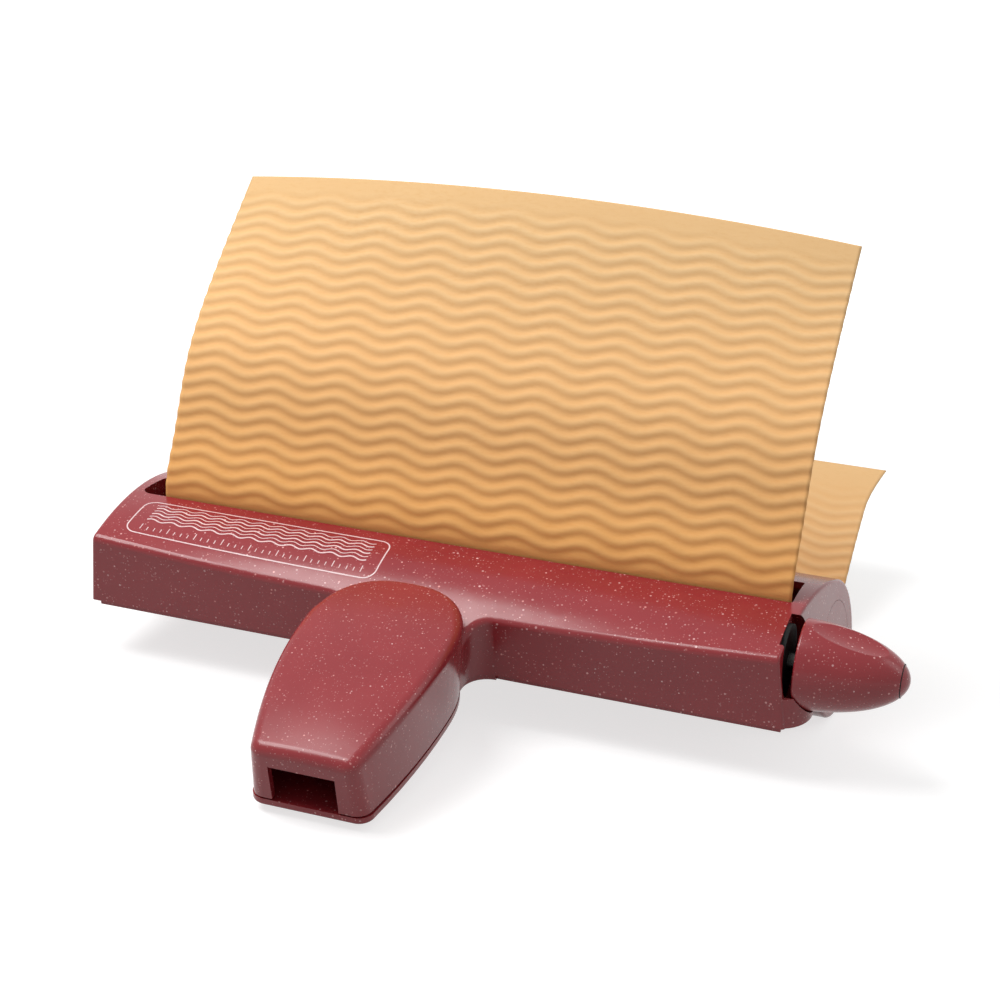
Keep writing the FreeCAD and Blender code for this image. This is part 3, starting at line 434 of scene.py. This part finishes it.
# ---------------------------------------------------------------- crimped sheets
SHEET_X = 3.9 * MM
SHEET_WIDTH = 215.9 * MM
SHEET_BODY = 1.2 * MM      # thickness of the CAD sheet, in whose middle the paper lies
PAPER_THICKNESS = 0.28 * MM
RIDGE_PITCH = 5.0 * MM
RIDGE_DEPTH = 0.48 * MM    # from a ridge to the valley beside it
WAVE_LENGTH = 22.7 * MM    # how often the ridges swing to and fro across the sheet
WAVE_SWING = 1.3 * MM      # and how far each way
SHEET_COLUMNS = 184        # faces across a sheet
SHEET_ROW_STEP = 0.5 * MM  # and how long each is along it
PATH_SAMPLES = 4000        # places at which a path's length is measured

# Each path is a row of (y, z) in millimetres, from inside the tool to the sheet's free end: the
# front one in the mouldings' frame, the rear one in the bench's.
FRONT_PATH = [(32.0, 20.5), (32.0, 27.0), (40.0, 42.5), (54.0, 65.5), (80.0, 89.0), (113.0, 111.3)]
REAR_PATH = [(11.5, 9.2), (18.0, 7.2), (30.0, 3.6), (48.0, 1.6), (66.0, 5.6), (82.0, 15.5),
             (97.0, 26.0), (113.0, 33.0), (132.0, 38.4)]

FRONT_ARCH = 9.0 * MM      # at the middle of the front sheet's free end
FRONT_ARCH_FROM = 0.3      # share of the length at which it starts
FRONT_ARCH_SHAPE = 1.5
REAR_LIFT = 4.0 * MM       # at the rear sheet's free end
REAR_LIFT_FROM = 0.7
REAR_FLARE = 4.5 * MM      # the end without ridges isn't drawn in by them, so it is wider
REAR_FLARE_FROM = 0.82
REAR_FLARE_OVER = 0.26     # it would reach its full width a little past the end


def bend_rates(t, values):
    """Second derivatives, at the points t, of the natural cubic spline through values there."""
    rows = []
    for i in range(1, len(t) - 1):
        before, after = t[i] - t[i - 1], t[i + 1] - t[i]
        turn = (values[i + 1] - values[i]) / after - (values[i] - values[i - 1]) / before
        rows.append([before, 2 * (before + after), after, 6 * turn])
    for above, row in zip(rows, rows[1:]):
        share = row[0] / above[1]
        row[1] -= share * above[2]
        row[3] -= share * above[3]
    rates = [0.0] * len(t)
    for i in range(len(rows) - 1, -1, -1):
        rates[i + 1] = (rows[i][3] - rows[i][2] * rates[i + 2]) / rows[i][1]
    return rates


def smooth_path(points, spacing):
    """Places and unit normals at even steps along a smooth curve through points (y, z)."""
    t = [0.0]
    for a, b in zip(points, points[1:]):
        t.append(t[-1] + math.dist(a, b))
    axes = [(values, bend_rates(t, values)) for values in zip(*points)]

    def at(s):
        """The curve's place and heading at s along its chords."""
        i = max(k for k in range(len(t) - 1) if t[k] <= s)
        span = t[i + 1] - t[i]
        a, b = (t[i + 1] - s) / span, (s - t[i]) / span
        place, ahead = [], []
        for p, m in axes:
            bend = (a ** 3 - a) * m[i] + (b ** 3 - b) * m[i + 1]
            turn = (3 * b * b - 1) * m[i + 1] - (3 * a * a - 1) * m[i]
            place.append(a * p[i] + b * p[i + 1] + bend * span * span / 6)
            ahead.append((p[i + 1] - p[i]) / span + turn * span / 6)
        return Vector(place), Vector(ahead).normalized()

    dense = [at(t[-1] * k / PATH_SAMPLES)[0] for k in range(PATH_SAMPLES + 1)]
    run = [0.0]
    for a, b in zip(dense, dense[1:]):
        run.append(run[-1] + (b - a).length)
    steps = round(run[-1] / spacing)
    out, k = [], 0
    for i in range(steps + 1):
        goal = run[-1] * i / steps
        while k < PATH_SAMPLES and run[k + 1] < goal:
            k += 1
        place, ahead = at(t[-1] * k / PATH_SAMPLES)
        out.append((place, Vector((-ahead[1], ahead[0]))))
    return out, run[-1]


def ease(value):
    """0 up to 0, 1 from 1 on, and smooth between."""
    value = min(max(value, 0.0), 1.0)
    return value * value * (3 - 2 * value)


def ridge_strength(distance, flat, growing):
    """How much of a ridge there is at a distance from an end that starts with a flat stretch."""
    return ease((distance - flat) / growing) if growing else 1.0


def front_bend(u, v):
    """How far the front sheet lies off its path, out and to the side: its free end arches."""
    across = 1 - (2 * u - 1) ** 2
    along = ease((v - FRONT_ARCH_FROM) / (1 - FRONT_ARCH_FROM)) ** FRONT_ARCH_SHAPE
    return FRONT_ARCH * across * along, 0.0


def rear_bend(u, v):
    """How far the rear sheet lies off its path, out and to the side."""
    lift = REAR_LIFT * ease((v - REAR_LIFT_FROM) / (1 - REAR_LIFT_FROM))
    flare = REAR_FLARE * (2 * u - 1) * ease((v - REAR_FLARE_FROM) / REAR_FLARE_OVER)
    return lift, flare


def crimped_sheet(name, path, to_bench, bend, start, end, phase):
    """A sheet whose wavy ridges stand on a smooth path; returns the piece and its length.

    start and end are the flat stretch there and the one over which the ridges grow.
    """
    rows, length = smooth_path([(y * MM, z * MM) for y, z in path], SHEET_ROW_STEP)
    build = bmesh.new()
    crest = build.verts.layers.float.new("crest")
    along = build.verts.layers.float.new("along")
    grid = []
    for i, (place, normal) in enumerate(rows):
        v = i / (len(rows) - 1)
        s = length * v
        strength = ridge_strength(s, *start) * ridge_strength(length - s, *end)
        line = []
        for j in range(SHEET_COLUMNS + 1):
            u = j / SHEET_COLUMNS
            out, sideways = bend(u, v)
            x = SHEET_WIDTH * (u - 0.5) + sideways
            swing = WAVE_SWING * math.sin(2 * math.pi * x / WAVE_LENGTH)
            wave = strength * math.sin(2 * math.pi * ((s + swing) / RIDGE_PITCH + phase))
            y, z = place + normal * (SHEET_BODY / 2 + RIDGE_DEPTH / 2 * wave + out)
            vert = build.verts.new(to_bench(SHEET_X + x, y, z))
            vert[crest] = 0.5 + 0.5 * wave
            vert[along] = v
            line.append(vert)
        grid.append(line)
    for a, b in zip(grid, grid[1:]):
        for j in range(SHEET_COLUMNS):
            face = build.faces.new((a[j], a[j + 1], b[j + 1], b[j]))
            face.smooth = True
    piece = to_piece(name, build, LOOKS["orange_paper"])
    solid = piece.modifiers.new("thickness", "SOLIDIFY")
    solid.thickness = PAPER_THICKNESS
    solid.offset = 0.0
    return piece, length


front_sheet, front_length = crimped_sheet(
    "crimped_sheet_front", FRONT_PATH, on_bench, front_bend,
    start=(5.5 * MM, 5.0 * MM), end=(4.0 * MM, 10.0 * MM), phase=0.1)
rear_sheet, rear_length = crimped_sheet(
    "crimped_sheet_rear", REAR_PATH, lambda x, y, z: Vector((x, y, z)), rear_bend,
    start=(0.0, 0.0), end=(6.0 * MM, 30.0 * MM), phase=0.35)

for piece, length, node, body, holder in (
        (front_sheet, front_length, "front_sheet", "upper", "upper_shell"),
        (rear_sheet, rear_length, "rear_sheet", "base", "lower_body")):
    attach(piece, body)
    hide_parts(node)

# ---------------------------------------------------------------- print on the crossbar
# Millimetres, in the mouldings' plan.
PRINT_LEFT, PRINT_RIGHT = -107.0, -18.0
PRINT_FRONT, PRINT_BACK = 6.5, 25.0
PRINT_CORNER = 4.0
PRINT_CORNER_STEPS = 8
PRINT_TOP = 0.05           # the ink's upper face over the moulding
PRINT_BOTTOM = 0.02        # and its lower one
PRINT_MARGIN = 5.0         # from the frame's ends to the waves and ticks
FRAME_LINE = 0.45          # line's width
FRAME_STEP = 2.0           # from one point of the line to the next, about
WAVES = 6
WAVE_LINES = (0.5, 0.32)   # widths, in turn
WAVES_START = 7.6          # from the frame's front to the middle of the first wave
WAVES_APART = 1.75
PRINT_WAVE_LENGTH = 7.2
PRINT_WAVE_SWING = 0.55    # each way
WAVE_STEP = 0.6            # from one point of a wave to the next
TICKS = 32                 # spaces between ticks
TICK_LINE = 0.3
TICKS_START = 2.2          # from the frame's front
TICK_SHORT, TICK_LONG = 1.5, 2.6
TICKS_TO_LONG = 4          # one tick in this many is long
ABOVE_ALL = 60.0           # where the search for the surface starts, over the whole crossbar


def top_finder():
    """Gives the upper shell's surface under a place in the mouldings' plan."""
    mesh = frame["nodes"]["upper_shell"].data
    tree = BVHTree.FromPolygons([v.co for v in mesh.vertices],
                                [p.vertices for p in mesh.polygons])
    down = (on_bench(0, 0, 0) - on_bench(0, 0, 1)).normalized()

    def at(x, y, height):
        """The place at a height over the surface."""
        start = on_bench(x * MM, y * MM, ABOVE_ALL * MM)
        hit = tree.ray_cast(start, down)[0]
        return hit - down * height * MM
    return at


def ink_line(build, at, points, width, closed=False):
    """A thin closed ribbon of ink along points in the plan."""
    count = len(points)
    rings = []
    for i, (x, y) in enumerate(points):
        before = points[i - 1] if closed or i else points[0]
        after = points[(i + 1) % count] if closed or i < count - 1 else points[-1]
        ahead = Vector((after[0] - before[0], after[1] - before[1])).normalized()
        side = Vector((-ahead[1], ahead[0])) * width / 2
        corners = ((1, PRINT_BOTTOM), (1, PRINT_TOP), (-1, PRINT_TOP), (-1, PRINT_BOTTOM))
        rings.append([build.verts.new(at(x + side[0] * k, y + side[1] * k, height))
                      for k, height in corners])
    if not closed:
        build.faces.new(rings[0])
        build.faces.new(reversed(rings[-1]))
    join_rings(build, rings, closed, smooth=False)


def frame_points():
    """Rounded rectangle, as points."""
    corners = []
    for cx, cy, start in ((PRINT_RIGHT, PRINT_FRONT, -90), (PRINT_RIGHT, PRINT_BACK, 0),
                          (PRINT_LEFT, PRINT_BACK, 90), (PRINT_LEFT, PRINT_FRONT, 180)):
        mx = cx - math.copysign(PRINT_CORNER, cx - (PRINT_LEFT + PRINT_RIGHT) / 2)
        my = cy - math.copysign(PRINT_CORNER, cy - (PRINT_FRONT + PRINT_BACK) / 2)
        for k in range(PRINT_CORNER_STEPS + 1):
            angle = math.radians(start + 90 * k / PRINT_CORNER_STEPS)
            corners.append((mx + PRINT_CORNER * math.cos(angle),
                            my + PRINT_CORNER * math.sin(angle)))
    points = []
    for a, b in zip(corners, corners[1:] + corners[:1]):
        steps = max(1, round(math.dist(a, b) / FRAME_STEP))
        points += [(a[0] + (b[0] - a[0]) * k / steps, a[1] + (b[1] - a[1]) * k / steps)
                   for k in range(steps)]
    return points


def make_print():
    """A plain panel: rounded frame, waves like the ones the tool presses, and a tick scale."""
    at = top_finder()
    build = bmesh.new()
    ink_line(build, at, frame_points(), FRAME_LINE, closed=True)
    left, right = PRINT_LEFT + PRINT_MARGIN, PRINT_RIGHT - PRINT_MARGIN
    steps = round((right - left) / WAVE_STEP)
    for row in range(WAVES):
        middle = PRINT_FRONT + WAVES_START + WAVES_APART * row
        points = []
        for k in range(steps + 1):
            x = left + (right - left) * k / steps
            swing = math.sin(2 * math.pi * (x - left) / PRINT_WAVE_LENGTH)
            points.append((x, middle + PRINT_WAVE_SWING * swing))
        ink_line(build, at, points, WAVE_LINES[row % 2])
    foot = PRINT_FRONT + TICKS_START
    for k in range(TICKS + 1):
        x = left + (right - left) * k / TICKS
        reach = TICK_SHORT if k % TICKS_TO_LONG else TICK_LONG
        ink_line(build, at, [(x, foot), (x, foot + reach)], TICK_LINE)
    build.normal_update()
    bmesh.ops.recalc_face_normals(build, faces=build.faces)
    piece = to_piece("panel_print", build, pale_print("pale_print"))
    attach(piece, "upper")


make_print()

# ---------------------------------------------------------------- seam round the knob's tip cap, its shade painted as a dark bead
# Millimetres, in the mouldings' frame.
KNOB_AXIS = (15.5, 14.6)   # its Y and Z
KNOB_BASE_X = 118.7
KNOB_RADIUS = 13.9
KNOB_LENGTH = 33.3
CAP_RADIUS = 5.1
SEAM_RADIUS = 0.17         # of the dark bead that paints the gap's shade
SEAM_AROUND, SEAM_ACROSS = 96, 8       # faces


def make_cap_seam_shade():
    """Dark bead that paints the shade in the gap between the knob, half an ellipsoid, and the cap
    at its tip.
    """
    cap_x = KNOB_BASE_X + KNOB_LENGTH * math.sqrt(1 - (CAP_RADIUS / KNOB_RADIUS) ** 2)
    build = bmesh.new()
    rings = []
    for i in range(SEAM_AROUND):
        a = 2 * math.pi * i / SEAM_AROUND
        ring = []
        for k in range(SEAM_ACROSS):
            b = 2 * math.pi * k / SEAM_ACROSS
            r = CAP_RADIUS + SEAM_RADIUS * math.cos(b)
            ring.append(build.verts.new(on_bench((cap_x + SEAM_RADIUS * math.sin(b)) * MM,
                                                 (KNOB_AXIS[0] + r * math.cos(a)) * MM,
                                                 (KNOB_AXIS[1] + r * math.sin(a)) * MM)))
        rings.append(ring)
    join_rings(build, rings, closed=True, smooth=True)
    bmesh.ops.recalc_face_normals(build, faces=build.faces)
    # painted shade: black material where the narrow gap would only be in shadow
    piece = to_piece("knob_cap_seam_shade", build, LOOKS["acetal_black"])
    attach(piece, "drive")


make_cap_seam_shade()
